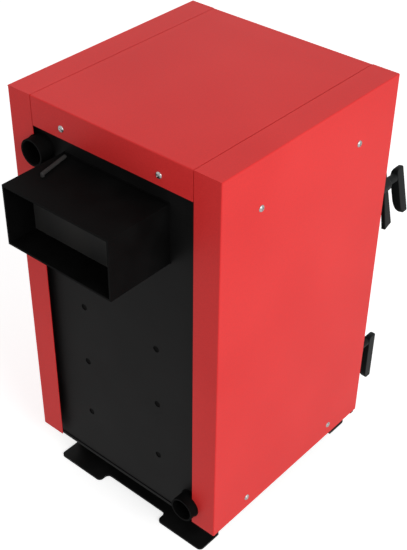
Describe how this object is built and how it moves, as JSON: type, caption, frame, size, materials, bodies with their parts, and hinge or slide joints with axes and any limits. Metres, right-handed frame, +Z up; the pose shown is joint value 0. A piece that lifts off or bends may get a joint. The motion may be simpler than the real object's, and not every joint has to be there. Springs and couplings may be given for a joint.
{
  "type": "solid fuel boiler",
  "caption": "Floor-standing solid fuel boiler: sheet casing over a water jacket, rectangular flue outlet with damper, water pipes, foot rails, hinged loading and ash doors with turning latches.",
  "frame": {"origin": "on the floor under the middle of the overall box, from the handles in front to the flue mouth behind", "axes": "front with the doors faces -Y, flue and pipes face +Y, +Z is up"},
  "size_m": [0.4552, 0.6742, 0.827],
  "materials": {
    "casing_red": "smooth semi-gloss red enamel on folded sheet",
    "black_paint": "satin black stove paint",
    "fire_steel": "bare plate, heat-darkened",
    "cast_grate": "rough cast iron",
    "zinc_steel": "bright zinc plate",
    "bracket_steel": "plain galvanised steel",
    "mineral_wool": "soft mineral fibre mat",
    "sealing_rope": "braided glass fibre rope",
    "insulating_board": "pressed mineral board",
    "handle_plastic": "moulded black heat-proof plastic",
    "handle_iron": "black painted casting",
    "gauge_case": "gloss black",
    "gauge_dial": "plain white",
    "gauge_needle": "plain red",
    "gauge_glass": "clear",
    "pocket_brass": "plain turned brass"
  },
  "bodies": {
    "boiler": {"outer_jacket": "black_paint", "front_plate": "black_paint", "firebox_shell": "fire_steel", "bottom_plate": "black_paint", "stay_bolts": "black_paint", "loading_door_frame": "black_paint", "ash_door_frame": "black_paint", "water_shelf": "fire_steel", "flue_duct": "black_paint", "supply_pipe": "black_paint", "return_pipe": "black_paint", "rear_foot_rail": "black_paint", "front_foot_rail": "black_paint", "grate_ledges": "fire_steel", "grate_bars": "cast_grate", "pan_rails": "fire_steel", "hinge_brackets": "black_paint", "hinge_pins": "zinc_steel", "latch_keepers": "black_paint", "side_panel_left": "casing_red", "side_panel_right": "casing_red", "top_panel": "casing_red", "top_rails": "bracket_steel", "panel_standoffs": "bracket_steel", "casing_screws": "zinc_steel", "side_wool": "mineral_wool", "top_wool": "mineral_wool", "control_panel": "casing_red", "front_cover": "black_paint", "front_cover_wool": "mineral_wool", "thermometer_case": "gauge_case", "thermometer_dial": "gauge_dial", "thermometer_needle": "gauge_needle", "thermometer_glass": "gauge_glass", "thermometer_pocket": "pocket_brass"},
    "loading_door": {"loading_door_plate": "black_paint", "loading_door_cover": "black_paint", "loading_door_wool": "mineral_wool", "loading_door_rope": "sealing_rope", "loading_door_block": "insulating_board", "loading_door_shield": "fire_steel", "loading_door_screws": "zinc_steel"},
    "loading_latch": {"loading_latch_spindle": "zinc_steel", "loading_latch_tongue": "black_paint", "loading_latch_arm": "handle_iron", "loading_grip": "handle_plastic"},
    "ash_door": {"ash_door_plate": "black_paint", "ash_door_cover": "black_paint", "ash_door_rope": "sealing_rope", "ash_door_block": "insulating_board", "ash_door_shield": "fire_steel", "ash_door_screws": "zinc_steel", "air_flap_pin": "zinc_steel"},
    "ash_latch": {"ash_latch_spindle": "zinc_steel", "ash_latch_tongue": "black_paint", "ash_latch_arm": "handle_iron", "ash_grip": "handle_plastic"},
    "air_flap": {"air_flap": "black_paint"},
    "ash_pan": {"ash_pan": "fire_steel"},
    "damper": {"damper": "black_paint"}
  },
  "joints": [
    {"name": "loading_door_hinge", "type": "hinge", "parent": "boiler", "child": "loading_door", "pos_m": [0.214, -0.2431, 0.57], "axis": [0, 0, 1], "range_deg": [0, 110]},
    {"name": "loading_latch_turn", "type": "hinge", "parent": "loading_door", "child": "loading_latch", "pos_m": [-0.194, -0.2759, 0.5785], "axis": [0, -1, 0], "range_deg": [0, 100]},
    {"name": "ash_door_hinge", "type": "hinge", "parent": "boiler", "child": "ash_door", "pos_m": [0.214, -0.2431, 0.16], "axis": [0, 0, 1], "range_deg": [0, 110]},
    {"name": "ash_latch_turn", "type": "hinge", "parent": "ash_door", "child": "ash_latch", "pos_m": [-0.181, -0.2759, 0.18], "axis": [0, -1, 0], "range_deg": [0, 90]},
    {"name": "air_flap_hinge", "type": "hinge", "parent": "ash_door", "child": "air_flap", "pos_m": [0.02, -0.2679, 0.18], "axis": [-1, 0, 0], "range_deg": [0, 60]},
    {"name": "ash_pan_slide", "type": "slide", "parent": "boiler", "child": "ash_pan", "axis": [0, -1, 0], "range_m": [0, 0.024]},
    {"name": "damper_turn", "type": "hinge", "parent": "boiler", "child": "damper", "pos_m": [0.085, 0.2791, 0.685], "axis": [0, 0, 1], "range_deg": [0, 80]}
  ]
}
